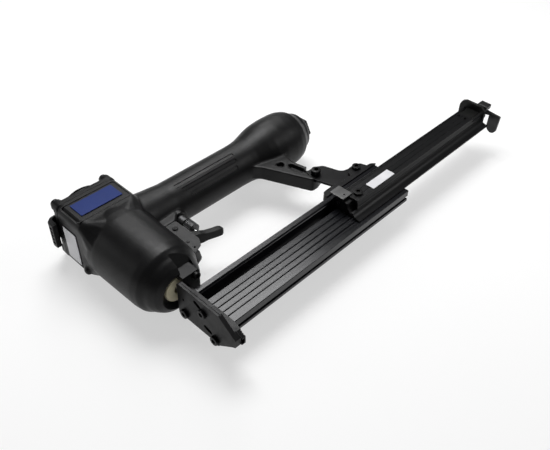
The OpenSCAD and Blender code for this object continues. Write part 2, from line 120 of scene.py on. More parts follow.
LATCH = Vector((*middle("latch_spring"), 0))
CORNERS = [(z, x) for x in (-25, 25) for z in (-25, 25)]
ARM_SCREW = (190, 95)
BAR_SCREW = (223, 71)
RIVET = (35.5, 105.5)
ROD_AXIS = (50, 7)
M5_R = 2.5


# ---- shapes ------------------------------------------------------------------------------------

def point(axis, along, a, b):
    """The point at `along` on an axis, with a and b on the two axes that follow it in turn."""
    result = Vector((0, 0, 0))
    for place, value in zip(CYCLE[axis], (along, a, b)):
        result[place] = value
    return result


def lathe(axis, outline, centre=(0, 0), steps=96, closed=False):
    """Turns an outline of (along, radius) round an axis. A closed outline makes a ring."""
    bm = bmesh.new()
    rings = []
    for along, radius in outline:
        if radius < 1e-6:
            rings.append([bm.verts.new(point(axis, along, *centre))])
            continue
        rings.append([
            bm.verts.new(point(
                axis, along,
                centre[0] + radius * math.cos(math.tau * i / steps),
                centre[1] + radius * math.sin(math.tau * i / steps),
            ))
            for i in range(steps)
        ])
    pairs = list(zip(rings, rings[1:]))
    if closed:
        pairs.append((rings[-1], rings[0]))
    for one, two in pairs:
        for i in range(steps):
            j = (i + 1) % steps
            corners = [one[i % len(one)], one[j % len(one)], two[j % len(two)], two[i % len(two)]]
            corners = list(dict.fromkeys(corners))
            if len(corners) > 2:
                bm.faces.new(corners)
    if not closed:
        for ring in (rings[0], rings[-1]):
            if len(ring) > 2:
                bm.faces.new(ring)
    bmesh.ops.recalc_face_normals(bm, faces=bm.faces[:])
    return bm


def rod(axis, start, end, radius, centre=(0, 0), steps=96):
    return lathe(axis, [(start, 0), (start, radius), (end, radius), (end, 0)], centre, steps)


def loft(axis, *sections):
    """Joins flat outlines of one number of points, each given as (along, outline). The outline's two
    numbers are on the axes that follow the lofted one."""
    bm = bmesh.new()
    rings = [[bm.verts.new(point(axis, along, *p)) for p in outline] for along, outline in sections]
    count = len(rings[0])
    for one, two in zip(rings, rings[1:]):
        for i in range(count):
            j = (i + 1) % count
            bm.faces.new((one[i], one[j], two[j], two[i]))
    bm.faces.new(rings[0])
    bm.faces.new(rings[-1])
    bmesh.ops.recalc_face_normals(bm, faces=bm.faces[:])
    return bm


def prism(axis, outline, start, end):
    return loft(axis, (start, outline), (end, outline))


def rectangle(left, low, right, high):
    return [(left, low), (right, low), (right, high), (left, high)]


def block(low, high):
    return prism("X", rectangle(low[1], low[2], high[1], high[2]), low[0], high[0])


def rounded(outline, radius, steps=5):
    """The outline with its corners turned into arcs. radius is one number, or one for each corner."""
    radii = radius if isinstance(radius, (list, tuple)) else [radius] * len(outline)
    result = []
    for i, corner in enumerate(outline):
        here = Vector(corner)
        before = Vector(outline[i - 1]) - here
        after = Vector(outline[(i + 1) % len(outline)]) - here
        half = before.angle(after) / 2
        if radii[i] <= 0 or abs(half - math.pi / 2) < 0.02:
            result.append(tuple(here))
            continue
        reach = min(radii[i] / math.tan(half), before.length * 0.49, after.length * 0.49)
        start = here + before.normalized() * reach
        end = here + after.normalized() * reach
        middle = here + (before.normalized() + after.normalized()).normalized() * reach / math.cos(half)
        for k in range(steps + 1):
            mix = (start - middle).lerp(end - middle, k / steps)
            result.append(tuple(middle + mix.normalized() * (start - middle).length))
    return result


def rounded_square(half, radius):
    return rounded(rectangle(-half, -half, half, half), radius, 6)


def slot(x, y, length, radius, turn=0.0, steps=8):
    """A round-ended slot as an outline, with its middle at (x, y)."""
    result = []
    for side in (1, -1):
        for k in range(steps + 1):
            angle = (-90 + 180 * k / steps) + (0 if side == 1 else 180)
            a = side * (length / 2 - radius) + radius * math.cos(math.radians(angle))
            b = radius * math.sin(math.radians(angle))
            c, s = math.cos(math.radians(turn)), math.sin(math.radians(turn))
            result.append((x + a * c - b * s, y + a * s + b * c))
    return result


def disc(x, y, radius, steps=48):
    return [
        (x + radius * math.cos(math.tau * i / steps), y + radius * math.sin(math.tau * i / steps))
        for i in range(steps)
    ]


def soften(bm, width, segments=2, angle=28):
    """Rounds the edges that turn by more than the angle."""
    edges = [
        e for e in bm.edges
        if len(e.link_faces) == 2 and e.calc_face_angle(0) > math.radians(angle)
    ]
    bmesh.ops.bevel(bm, geom=edges, offset=width, segments=segments, profile=0.5,
                    affect="EDGES", clamp_overlap=True)
    return bm


def joined(*parts):
    """One mesh from several, left overlapping where they overlap."""
    bm = bmesh.new()
    for part in parts:
        mesh = bpy.data.meshes.new("part")
        part.to_mesh(mesh)
        part.free()
        bm.from_mesh(mesh)
        bpy.data.meshes.remove(mesh)
    return bm


def stand_in(bm):
    mesh = bpy.data.meshes.new("work")
    bm.to_mesh(mesh)
    bm.free()
    obj = bpy.data.objects.new("work", mesh)
    bpy.context.scene.collection.objects.link(obj)
    return obj


def settled(obj, *others):
    """The mesh with its modifiers applied, and the working objects cleared away."""
    bpy.context.view_layer.update()
    seen = obj.evaluated_get(bpy.context.evaluated_depsgraph_get())
    bm = bmesh.new()
    bm.from_mesh(seen.to_mesh())
    seen.to_mesh_clear()
    for work in (obj, *others):
        mesh = work.data
        bpy.data.objects.remove(work)
        bpy.data.meshes.remove(mesh)
    return bm


def combine(base, other, operation="DIFFERENCE"):
    first, second = stand_in(base), stand_in(other)
    modifier = first.modifiers.new("combine", "BOOLEAN")
    modifier.operation = operation
    modifier.object = second
    modifier.solver = "MANIFOLD"
    return settled(first, second)


def cut(base, *tools):
    for tool in tools:
        base = combine(base, tool)
    return base


def fused(first, *others):
    for other in others:
        first = combine(first, other, "UNION")
    return first


def cast(parts, voxel, rounds):
    """Grows overlapping solids into one casting, with its inner and outer corners rounded."""
    work = stand_in(joined(*parts))
    grow = work.modifiers.new("grow", "REMESH")
    grow.mode = "VOXEL"
    grow.voxel_size = voxel
    ease = work.modifiers.new("ease", "SMOOTH")
    ease.factor = 0.5
    ease.iterations = rounds
    return settled(work)


def moved(bm, place=(0, 0, 0), towards="Z"):
    """Turns a shape made along +Z towards another direction, then moves it."""
    turns = {
        "Z": Matrix.Identity(4),
        "-Z": Matrix.Rotation(math.pi, 4, "X"),
        "Y": Matrix.Rotation(-math.pi / 2, 4, "X"),
        "-Y": Matrix.Rotation(math.pi / 2, 4, "X"),
        "X": Matrix.Rotation(math.pi / 2, 4, "Y"),
        "-X": Matrix.Rotation(-math.pi / 2, 4, "Y"),
    }
    bmesh.ops.transform(bm, matrix=Matrix.Translation(place) @ turns[towards], verts=bm.verts[:])
    return bm


def cap_screw(head_r, head_h, shank_r, shank_l):
    """A socket screw along +Z, with its head's seat at z = 0."""
    edge = head_h * 0.14
    head = lathe("Z", [
        (-shank_l, 0), (-shank_l, shank_r - 0.3), (-shank_l + 0.4, shank_r), (0, shank_r), (0, head_r),
        (head_h - edge, head_r), (head_h - edge * 0.3, head_r - edge * 0.3), (head_h, head_r - edge),
        (head_h, 0),
    ], steps=40)
    key = lathe("Z", [(head_h * 0.35, 0), (head_h * 0.42, head_r * 0.55), (head_h + 1, head_r * 0.55),
                      (head_h + 1, 0)], steps=6)
    return cut(head, key)


def coil(axis, centre, start, length, radius, wire, turns, sides=10, per_turn=28):
    """A wound spring with its end turns closed up."""
    bm = bmesh.new()
    count = int(turns * per_turn)
    usable = length - 2 * wire
    rings = []
    for k in range(count + 1):
        share = k / count
        eased = share + 0.35 / turns * math.sin(math.tau * share) * -1
        angle = math.tau * turns * share
        along = start + wire + usable * min(max(eased, 0), 1)
        ring = []
        for s in range(sides):
            bend = math.tau * s / sides
            r = radius + wire * math.cos(bend)
            ring.append(bm.verts.new(point(
                axis, along + wire * math.sin(bend),
                centre[0] + r * math.cos(angle), centre[1] + r * math.sin(angle),
            )))
        rings.append(ring)
    for one, two in zip(rings, rings[1:]):
        for s in range(sides):
            t = (s + 1) % sides
            bm.faces.new((one[s], one[t], two[t], two[s]))
    bm.faces.new(rings[0])
    bm.faces.new(rings[-1])
    bmesh.ops.recalc_face_normals(bm, faces=bm.faces[:])
    return bm


def piece(name, bm, finish, body, slot_name, *nodes, sharp=38):
    """Puts a shape into the scene in metres, rides it on its body, and hides the CAD nodes it stands for."""
    mesh = bpy.data.meshes.new(name)
    bmesh.ops.transform(bm, matrix=TOOL, verts=bm.verts[:])
    for face in bm.faces:
        face.smooth = True
    bm.to_mesh(mesh)
    bm.free()
    mesh.set_sharp_from_angle(angle=math.radians(sharp))
    mesh.materials.append(finish)
    obj = bpy.data.objects.new(name, mesh)
    bpy.context.scene.collection.objects.link(obj)
    weighted = obj.modifiers.new("normals", "WEIGHTED_NORMAL")
    weighted.keep_sharp = True
    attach(obj, body)
    if nodes:
        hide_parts(*nodes)
    return obj


# ---- finishes ----------------------------------------------------------------------------------

class Finish:
    """A material built from nodes: a mottled colour, worn edges, uneven gloss and a fine grain."""

    def __init__(self, name, metallic=0.0, specular=0.5, sheen=0.0):
        self.material = bpy.data.materials.new(name)
        self.material.use_nodes = True
        self.tree = self.material.node_tree
        self.shader = self.tree.nodes["Principled BSDF"]
        self.shader.inputs["Metallic"].default_value = metallic
        self.shader.inputs["Specular IOR Level"].default_value = specular
        self.shader.inputs["Sheen Weight"].default_value = sheen
        self.where = self.add("TexCoord").outputs["Object"]

    def add(self, kind, **settings):
        node = self.tree.nodes.new("ShaderNode" + kind)
        for key, value in settings.items():
            setattr(node, key, value)
        return node

    def link(self, source, target):
        self.tree.links.new(source, target)

    def noise(self, scale, detail=3.0, rough=0.55, stretch=(1, 1, 1)):
        mapping = self.add("Mapping")
        mapping.inputs["Scale"].default_value = stretch
        self.link(self.where, mapping.inputs["Vector"])
        node = self.add("TexNoise")
        node.inputs["Scale"].default_value = scale
        node.inputs["Detail"].default_value = detail
        node.inputs["Roughness"].default_value = rough
        self.link(mapping.outputs["Vector"], node.inputs["Vector"])
        return node.outputs["Fac"]

    def spread(self, source, low, high, to_low=0.0, to_high=1.0):
        node = self.add("MapRange")
        for name, value in (("From Min", low), ("From Max", high), ("To Min", to_low), ("To Max", to_high)):
            node.inputs[name].default_value = value
        self.link(source, node.inputs["Value"])
        return node.outputs["Result"]

    def times(self, one, two):
        node = self.add("Math", operation="MULTIPLY")
        self.link(one, node.inputs[0])
        self.link(two, node.inputs[1])
        return node.outputs[0]

    def mix(self, amount, one, two):
        node = self.add("Mix", data_type="RGBA")
        self.link(amount, node.inputs["Factor"])
        for value, socket in ((one, node.inputs["A"]), (two, node.inputs["B"])):
            if isinstance(value, (list, tuple)):
                socket.default_value = (*value, 1)
            else:
                self.link(value, socket)
        return node.outputs["Result"]

    def edges(self, width):
        """High along edges of about that width in millimetres."""
        round_normal = self.add("Bevel", samples=6)
        round_normal.inputs["Radius"].default_value = width * MM
        flat_normal = self.add("NewGeometry")
        facing = self.add("VectorMath", operation="DOT_PRODUCT")
        self.link(round_normal.outputs["Normal"], facing.inputs[0])
        self.link(flat_normal.outputs["Normal"], facing.inputs[1])
        return self.spread(facing.outputs["Value"], 0.985, 0.86)

    def colour(self, base, mottle=0.18, scale=40, wear=None, worn_width=0.6, worn_amount=0.6):
        """Sets the base colour, uneven by `mottle`, with the wear colour along the edges."""
        patches = self.spread(self.noise(scale, 4), 0.3, 0.7)
        tone = self.mix(patches, [c * (1 - mottle) for c in base], [c * (1 + mottle) for c in base])
        if wear:
            rub = self.spread(self.noise(260, 3), 0.42, 0.62, 0.0, worn_amount)
            tone = self.mix(self.times(self.edges(worn_width), rub), tone, wear)
        self.link(tone, self.shader.inputs["Base Color"])

    def gloss(self, rough, swing=0.07, scale=90, stretch=(1, 1, 1)):
        uneven = self.spread(self.noise(scale, 4, 0.6, stretch), 0.3, 0.7, rough - swing, rough + swing)
        self.link(uneven, self.shader.inputs["Roughness"])

    def grain(self, size, depth, stretch=(1, 1, 1), detail=2.0):
        """A raised grain of about that size, in millimetres."""
        bump = self.add("Bump")
        bump.inputs["Strength"].default_value = 1.0
        bump.inputs["Distance"].default_value = depth * MM
        self.link(self.noise(1 / (size * MM), detail, 0.6, stretch), bump.inputs["Height"])
        self.link(bump.outputs["Normal"], self.shader.inputs["Normal"])


def make_finishes():
    made = {}

    def start(name, **settings):
        made[name] = Finish(name, **settings)
        return made[name]

    coat = start("cast_body", specular=0.2)
    coat.colour((0.0035, 0.0035, 0.0038), 0.2, 30, wear=(0.02, 0.02, 0.021), worn_amount=0.35)
    coat.gloss(0.42, 0.05)
    coat.grain(0.9, 0.05)

    oxide = start("nose_steel", metallic=0.05, specular=0.14)
    oxide.colour((0.0045, 0.0045, 0.005), 0.25, 60, wear=(0.09, 0.09, 0.093), worn_amount=0.55)
    oxide.gloss(0.38, 0.08)
    oxide.grain(0.5, 0.015)

    satin = start("satin_steel", metallic=0.1, specular=0.2)
    satin.colour((0.014, 0.014, 0.0145), 0.2, 70, wear=(0.09, 0.09, 0.09), worn_amount=0.5)
    satin.gloss(0.42, 0.07, 200)
    satin.grain(0.4, 0.012)

    rail = start("anodised_rail", metallic=0.15, specular=0.34)
    rail.colour((0.006, 0.0062, 0.0078), 0.15, 40, wear=(0.06, 0.06, 0.068), worn_amount=0.5)
    rail.gloss(0.2, 0.04, 300, (0.03, 1, 1))
    rail.grain(0.25, 0.012, (0.02, 1, 1))

    slide = start("slider_coat", metallic=0.1, specular=0.2)
    slide.colour((0.0042, 0.0043, 0.0047), 0.15, 40, wear=(0.035, 0.035, 0.038), worn_amount=0.5)
    slide.gloss(0.36, 0.05, 300, (0.03, 1, 1))
    slide.grain(0.25, 0.012, (0.02, 1, 1))

    screws = start("screw_black", metallic=0.1, specular=0.16)
    screws.colour((0.004, 0.004, 0.0043), 0.25, 120, wear=(0.14, 0.14, 0.14), worn_width=0.3)
    screws.gloss(0.34, 0.08, 400)
    screws.grain(0.3, 0.01)

    bright = start("bright_steel", metallic=1.0)
    bright.colour((0.5, 0.505, 0.51), 0.12, 150, wear=(0.7, 0.7, 0.7), worn_width=0.2)
    bright.gloss(0.27, 0.08, 500, (1, 1, 0.1))
    bright.grain(0.15, 0.004)

    valve = start("valve_body", metallic=0.8)
    valve.colour((0.055, 0.055, 0.057), 0.18, 120, wear=(0.3, 0.3, 0.3), worn_width=0.3)
    valve.gloss(0.36, 0.08, 400)
    valve.grain(0.3, 0.008)

    sleeve = start("sleeve", metallic=1.0)
    sleeve.colour((0.55, 0.56, 0.57), 0.1, 90, wear=(0.75, 0.75, 0.75), worn_width=0.2)
    sleeve.gloss(0.28, 0.06, 600, (1, 0.1, 1))
    sleeve.grain(0.15, 0.004)

    spring = start("spring_steel", metallic=1.0)
    spring.colour((0.33, 0.33, 0.34), 0.2, 200)
    spring.gloss(0.35, 0.08, 300)
    spring.grain(0.2, 0.005)

    rubber = start("seal_rubber", specular=0.3)
    rubber.colour((0.008, 0.008, 0.008), 0.3, 120)
    rubber.gloss(0.6, 0.08, 200)
    rubber.grain(0.4, 0.02)

    urethane = start("bumper_urethane", specular=0.4, sheen=0.1)
    urethane.colour((0.62, 0.57, 0.4), 0.1, 90, wear=(0.45, 0.4, 0.28), worn_width=0.8)
    urethane.gloss(0.5, 0.06, 100)
    urethane.grain(0.6, 0.02)

    plastic = start("black_plastic", specular=0.14)
    plastic.colour((0.004, 0.004, 0.0043), 0.2, 60, wear=(0.02, 0.02, 0.02), worn_amount=0.3)
    plastic.gloss(0.42, 0.06, 160)
    plastic.grain(0.6, 0.03)

    fittings = start("end_fittings", specular=0.35)
    fittings.colour((0.006, 0.006, 0.0068), 0.2, 60, wear=(0.06, 0.06, 0.06), worn_amount=0.45)
    fittings.gloss(0.38, 0.06)
    fittings.grain(0.6, 0.02)

    plate = start("end_plate", metallic=0.05, specular=0.2)
    plate.colour((0.0045, 0.0047, 0.0044), 0.25, 70, wear=(0.05, 0.05, 0.048), worn_amount=0.4)
    plate.gloss(0.4, 0.08)
    plate.grain(0.5, 0.015)

    latch = start("latch_steel", metallic=0.7)
    latch.colour((0.03, 0.03, 0.0305), 0.25, 110, wear=(0.2, 0.2, 0.2), worn_width=0.35)
    latch.gloss(0.38, 0.09, 260)
    latch.grain(0.3, 0.01)

    tab = start("grey_tab", metallic=0.7)
    tab.colour((0.075, 0.075, 0.075), 0.15, 140, wear=(0.25, 0.25, 0.25), worn_width=0.3)
    tab.gloss(0.38, 0.07, 300, (0.1, 1, 1))
    tab.grain(0.2, 0.006, (0.1, 1, 1))

    blue = start("blue_plate", specular=0.14)
    blue.colour((0.007, 0.022, 0.125), 0.07, 50, wear=(0.09, 0.12, 0.35), worn_width=0.3, worn_amount=0.3)
    blue.gloss(0.5, 0.05, 160)
    blue.grain(0.8, 0.006)

    grey = start("grey_plate", specular=0.5)
    grey.colour((0.62, 0.62, 0.64), 0.06, 80, wear=(0.4, 0.4, 0.42), worn_width=0.4, worn_amount=0.4)
    grey.gloss(0.45, 0.05, 160)
    grey.grain(0.8, 0.006)
    return {name: finish.material for name, finish in made.items()}


FINISH = make_finishes()


def keep(node):
    """Leaves a CAD node in view, with its slot's finish."""
    names = {s["node"]: s["material_slot"] for s in frame["record"]["subparts"]}
    obj = frame["nodes"][node]
    if not obj.material_slots:
        obj.data.materials.append(FINISH[names[node]])
    for place in obj.material_slots:
        place.material = FINISH[names[node]]


# ---- camera, light and floor ------------------------------------------------------------------

CAMERA_AT = (-215.0, -229.5, 400.0)
CAMERA_RIGHT = (0.6944, -0.7193, 0.0199)
CAMERA_AHEAD = (0.5450, 0.5076, -0.6673)
CAMERA_LENS = 43.23
# Name, place, width and height in metres, and watts
LIGHTS = (
    ("key", (0.17, 0.38, 0.96), (0.68, 0.5), 12.5),
    ("side", (0.7, -0.72, 0.78), (0.5, 0.5), 3.2),
    ("fill", (0.75, 1.0, 0.85), (0.4, 0.4), 2.5),
    ("back", (-0.95, 0.9, 0.4), (0.4, 0.4), 1.1),
)
LIGHTS_AIM = (0, 0, 0.03)
FLOOR_GAP = 0.0003
FLOOR_GLOW = 0.55
SKY = 0.12


def make_camera():
    data = bpy.data.cameras.new("camera")
    data.sensor_width = 36.0
    data.lens = CAMERA_LENS
    data.clip_end = 20.0
    camera = bpy.data.objects.new("camera", data)
    bpy.context.scene.collection.objects.link(camera)
    right = Vector(CAMERA_RIGHT).normalized()
    ahead = Vector(CAMERA_AHEAD).normalized()
    up = right.cross(ahead)
    place = Matrix((right, up, -ahead)).transposed().to_4x4()
    place.translation = TOOL @ Vector(CAMERA_AT)
    camera.matrix_world = place
    bpy.context.scene.camera = camera


def make_light(name, place, size, watts):
    data = bpy.data.lights.new(name, "AREA")
    data.shape = "RECTANGLE"
    data.size, data.size_y = size
    data.energy = watts
    light = bpy.data.objects.new(name, data)
    bpy.context.scene.collection.objects.link(light)
    light.location = place
    light.rotation_euler = (Vector(LIGHTS_AIM) - Vector(place)).to_track_quat("-Z", "Y").to_euler()


def make_studio():
    mesh = bpy.data.meshes.new("floor")
    bm = bmesh.new()
    bmesh.ops.create_grid(bm, x_segments=8, y_segments=8, size=6)
    bmesh.ops.translate(bm, vec=(0, 0, cad_box[0][2] - FLOOR_GAP), verts=bm.verts[:])
    bm.to_mesh(mesh)
    bm.free()
    floor = bpy.data.objects.new("floor", mesh)
    bpy.context.scene.collection.objects.link(floor)
    pale = Finish("pale_floor", specular=0.1)
    pale.colour((0.4, 0.4, 0.4), 0.01, 3)
    pale.gloss(0.8, 0.03, 20)
    pale.shader.inputs["Emission Color"].default_value = (1, 1, 1, 1)
    pale.shader.inputs["Emission Strength"].default_value = FLOOR_GLOW
    mesh.materials.append(pale.material)

    world = bpy.data.worlds.new("studio")
    bpy.context.scene.world = world
    world.use_nodes = True
    sky = world.node_tree.nodes["Background"]
    sky.inputs["Color"].default_value = (1, 1, 1, 1)
    sky.inputs["Strength"].default_value = SKY
    for light in LIGHTS:
        make_light(*light)
    bpy.context.scene.view_settings.view_transform = "Standard"


make_camera()
make_studio()


# ---- housing -----------------------------------------------------------------------------------

def make_housing():
    barrel = lathe("Y", [
        (72, 0), (72, 13), (73.5, 19), (77, 24), (82, 27), (86, 28.5), (88.5, 30.5), (91, 32),
        (98, 33), (148, BARREL_R), (156, BARREL_R - 0.6), (162, BARREL_R - 2.0), (167, BARREL_R - 3.4),
        (HANDLE_Y + 5, BARREL_R - 3.8), (HANDLE_Y + 5, 0),
    ], steps=128)
    head = loft(
        "Y",
        (148, rounded_square(BARREL_R - 1.5, BARREL_R - 4)),
        (156, rounded_square(BARREL_R - 2.0, 22)),
        (163, rounded_square(HEAD, 11)),
        (167, rounded_square(HEAD, 8)),
        (CAP_Y + 4, rounded_square(HEAD, 8)),
    )
    handle = lathe("X", [
        (0, 0), (0, GRIP_R), (145, GRIP_R), (155, 21.9), (162, 22.8), (169, 24.6), (177, 26.9), (185, 28.5),
        (196, BULB_R), (210, BULB_R), (218, 28.8), (225, 26.8), (230, 23.5), (HANDLE_END + 3, 20.5),
        (HANDLE_END + 3, 0),
    ], centre=GRIP_AXIS, steps=128)
    neck = lathe("X", [
        (25, 0), (25, 25.4), (33, 24.4), (43, 23.2), (54, 22.2), (62, 21.4), (68, 21), (68, 0),
    ], centre=GRIP_AXIS)
    arm = prism("Z", rounded([
        (146, 150), (157.5, 137.5), (179, 88.5), (187, 88.5), (199, 92), (199, 104), (190, 107),
        (186.5, 124), (192, 142), (192, 160), (160, 160),
    ], [0, 6, 4, 4, 4, 4, 4, 20, 0, 0, 0]), -7.5, 7.5)
    pad = rounded([(20, 134), (46, 134), (52, 141), (53, 156), (20, 156)], [0, 6, 4, 4, 0])
    pad = prism("Z", pad, -9.5, 9.5)
    valve_boss = rod("Y", 140, 152, 9, centre=VALVE_AXIS)
    lug = lathe("X", [(-34, 0), (-34, 2), (-32.5, 4), (-29, 4.5), (-26, 4.5), (-26, 0)], centre=(165, -21))
    pocket_outlines = ([(169, 132), (180, 130), (174, 122)],
                       [(179, 122), (183, 122), (186, 107), (181, 103), (177, 116)])
    pockets = [prism("Z", rounded(outline, 2), low, low + 6)
               for low in (3, -9) for outline in pocket_outlines]
    solid = fused(barrel, head, handle, neck, arm, pad, valve_boss, lug)
    solid = cut(solid, joined(*pockets))
    body = cast([solid], 0.8, 7)
    body = cut(body, prism("Y", rounded_square(HEAD + 9, 2), CAP_Y, CAP_Y + 12), *grip_grooves())
    # The flat seat of the head's plate, and the one in front
    seat = rounded(rectangle(-28.7, 168.4, 25.2, 194.7), 2.4)
    body = cut(
        body,
        prism("Z", seat, HEAD - 0.35, HEAD + 8),
        prism("X", rounded(rectangle(172, -23, 195, 16), 1.5), -HEAD - 6, -HEAD + 0.3),
    )
    bores = fused(
        rod("Y", 88, CAP_Y + 1, BORE_R + 0.1),
        rod("Y", 71, 90, 13),
        lathe("X", [(20, 0), (20, 16.5), (HANDLE_END - 12, 16.5), (HANDLE_END - 12, 18.5),
                    (HANDLE_END, 18.5), (HANDLE_END, 19.5), (HANDLE_END + 6, 19.5), (HANDLE_END + 6, 0)],
              centre=GRIP_AXIS),
        rod("Y", 131, 151, 5.98, centre=VALVE_AXIS),
    )
    body = cut(body, bores)
    body = cut(body, prism("X", rectangle(100, -40, 230, 40), HANDLE_END, HANDLE_END + 12))
    body = cut(
        body,
        joined(*[rod("Y", CAP_Y - 20, CAP_Y + 1, M5_R, corner, 32) for corner in CORNERS]),
        prism("Z", rounded(rectangle(-1.6, 66, FLANGE_BACK + 0.4, FLANGE_TOP),
                           [0, 0, 1.5, 0.8]), -NOSE_HALF - 0.3, NOSE_HALF + 0.3),
        prism("X", [(66, NOSE_HALF), (80, NOSE_HALF), (89, 32), (89, 40), (66, 40)], 1, FLANGE_BACK + 0.4),
        lathe("Y", [
            (70, 0), (70, 20), (72.6, 19.2), (75.5, 17), (77, 14), (78.5, 13.2), (90, 13.2), (90, 0),
        ]),
        prism("Z", rounded([(179, 80), (182, 104), (196, 110), (210, 110), (210, 80)], 1), 2, 12),
        rod("Z", -9, 4, M5_R, ARM_SCREW, 32),
    )
    piece("housing_cast", body, FINISH["cast_body"], "tool", "cast_body", "housing", sharp=48)

    rim = cut(
        prism("Z", rounded(rectangle(-29.5, 167.6, 26, 195.5), 3), HEAD - 1.5, HEAD + 0.35),
        prism("Z", seat, HEAD - 2, HEAD + 2),
    )
    piece("head_pad_rim", soften(rim, 0.2, 2, 50), FINISH["cast_body"], "tool", "cast_body")


def grip_grooves():
    """Three shallow slots sunk straight into the grip's round upper flank."""
    tools = []
    for x, angle, length in ((103, 14.5, 74), (104.7, 31.5, 67.5), (106.3, 50.5, 59)):
        turn = Matrix.Translation((0, HANDLE_Y, 0)) @ Matrix.Rotation(math.radians(angle), 4, "X")
        floor = prism("Z", slot(x, 0, length, 1.9), GRIP_R - 0.55, GRIP_R + 5)
        edge = cut(prism("Z", slot(x, 0, length + 0.4, 2.1), GRIP_R - 1.3, GRIP_R + 5),
                   prism("Z", slot(x, 0, length - 0.7, 1.45), GRIP_R - 2, GRIP_R + 6))
        for tool in (floor, edge):
            bmesh.ops.transform(tool, matrix=turn, verts=tool.verts[:])
            tools.append(tool)
    return tools


def make_cap():
    plate = prism("Y", rounded_square(HEAD, 8), CAP_Y - 2, CAP_Y + 6.5)
    crown = lathe("Y", [
        (CAP_Y + 2, 0), (CAP_Y + 2, 29.5), (CAP_Y + 7, 29.3), (CAP_Y + 12, 27), (CAP_Y + 12, 0),
    ])
    post = [(CAP_Y + 2, 0), (CAP_Y + 2, 5.8), (CAP_Y + 11, 5.4), (CAP_Y + 11, 0)]
    posts = [lathe("Y", post, corner, 48) for corner in CORNERS]
    body = cast([fused(plate, crown, *posts)], 0.6, 5)
    body = cut(
        body,
        prism("Y", rounded_square(HEAD + 9, 2), CAP_Y - 12, CAP_Y + 1),
        lathe("Y", [(CAP_Y, 0), (CAP_Y, BORE_R), (CAP_Y + 4.5, BORE_R), (CAP_Y + 4.5, 8), (CAP_Y + 10, 8),
                    (CAP_Y + 10, 2.5), (CAP_Y + 14, 2.5), (CAP_Y + 14, 0)]),
        joined(*[rod("Y", CAP_Y, CAP_Y + 14, M5_R, corner, 32) for corner in CORNERS]),
    )
    piece("cap_cast", body, FINISH["cast_body"], "tool", "cast_body", "cylinder_cap", sharp=48)
    screws = joined(*[moved(cap_screw(4, 3, 2.45, 28), (x, CAP_Y + 11, z), "Y") for z, x in CORNERS])
    piece("cap_screw_set", screws, FINISH["screw_black"], "tool", "screw_black", "cap_screws")


def make_deflector():
    dome = lathe("Y", [
        (CAP_Y + 12, 0), (CAP_Y + 12, 27), (CAP_Y + 12.3, 27.4), (CAP_Y + 13, 27.4), (CAP_Y + 14, 26.6),
        (CAP_Y + 15.2, 25.2), (CAP_Y + 16.4, 23), (CAP_Y + 17.6, 19.5), (CAP_Y + 18.5, 15.5), (TOP_Y, 12),
        (TOP_Y, 0),
    ], steps=128)
    outlet = soften(prism("Z", [
        (FRONT_X + a, CAP_Y + b) for a, b in rounded(
            [(0, 1.5), (5, 1.5), (5, 10.2), (8.3, 12.1), (18, 12.1), (18, 14.6), (5, 13.4), (0, 9)],
            [0.6, 0.6, 2, 2, 0.3, 0.3, 4, 4])
    ], -13, 13), 0.7, 2, 50)
    body = fused(dome, outlet)
    slits = [block((FRONT_X - 1, CAP_Y + 3.4, z - 1.3), (FRONT_X + 3, CAP_Y + 8.2, z + 1.3))
             for z in (-8.4, -4.2, 0, 4.2, 8.4)]
    body = cut(
        body,
        lathe("Y", [(CAP_Y + 10, 0), (CAP_Y + 10, 2.5), (CAP_Y + 16, 2.5), (CAP_Y + 16, 5), (TOP_Y + 2, 5),
                    (TOP_Y + 2, 0)], steps=48),
        joined(*slits),
    )
    piece("deflector_dome", body, FINISH["black_plastic"], "tool", "black_plastic", "exhaust_deflector")
    piece("deflector_dome_screw", moved(cap_screw(4.5, 2.5, 2.45, 7), (0, CAP_Y + 16, 0), "Y"),
          FINISH["screw_black"], "tool", "screw_black", "deflector_screw")


def make_handle_end():
    cap = lathe("X", [
        (HANDLE_END - 10, 8.5), (HANDLE_END - 10, 18), (HANDLE_END - 9.4, 18.45), (HANDLE_END - 0.4, 18.45),
        (HANDLE_END - 0.4, 20.4), (HANDLE_END + 0.6, 21), (HANDLE_END + 3, 20.8), (HANDLE_END + 5.6, 19.8),
        (HANDLE_END + 6.8, 18.6), (HANDLE_END + 7, 17.6), (HANDLE_END + 7, 8.5),
    ], centre=GRIP_AXIS, steps=96, closed=True)
    piece("handle_end_cap", cap, FINISH["end_fittings"], "tool", "end_fittings", "end_cap")

    hexagon = [(HANDLE_Y + a, b) for a, b in disc(0, 0, 14.5, 6)]
    nut = soften(prism("X", rounded(hexagon, 0.8, 3), HANDLE_END + 7.02, HANDLE_END + 14), 0.7, 2)
    stem = rod("X", HANDLE_END - 8, HANDLE_END + 8, 8.4, centre=GRIP_AXIS, steps=64)
    threads = [(HANDLE_END + 15, 0), (HANDLE_END + 15, 6.9), (HANDLE_END + 14, 6.4)]
    for k in range(9):
        x = HANDLE_END + 13.4 - 1.3 * k
        threads += [(x, 5.75), (x - 0.65, 6.3)]
    threads += [(HANDLE_END + 2, 5.75), (HANDLE_END + 2, 4.5), (HANDLE_END - 9, 4.5), (HANDLE_END - 9, 0)]
    bush = cut(fused(nut, stem), lathe("X", threads, centre=GRIP_AXIS, steps=64))
    piece("inlet_bush", bush, FINISH["end_fittings"], "tool", "end_fittings", "air_inlet")


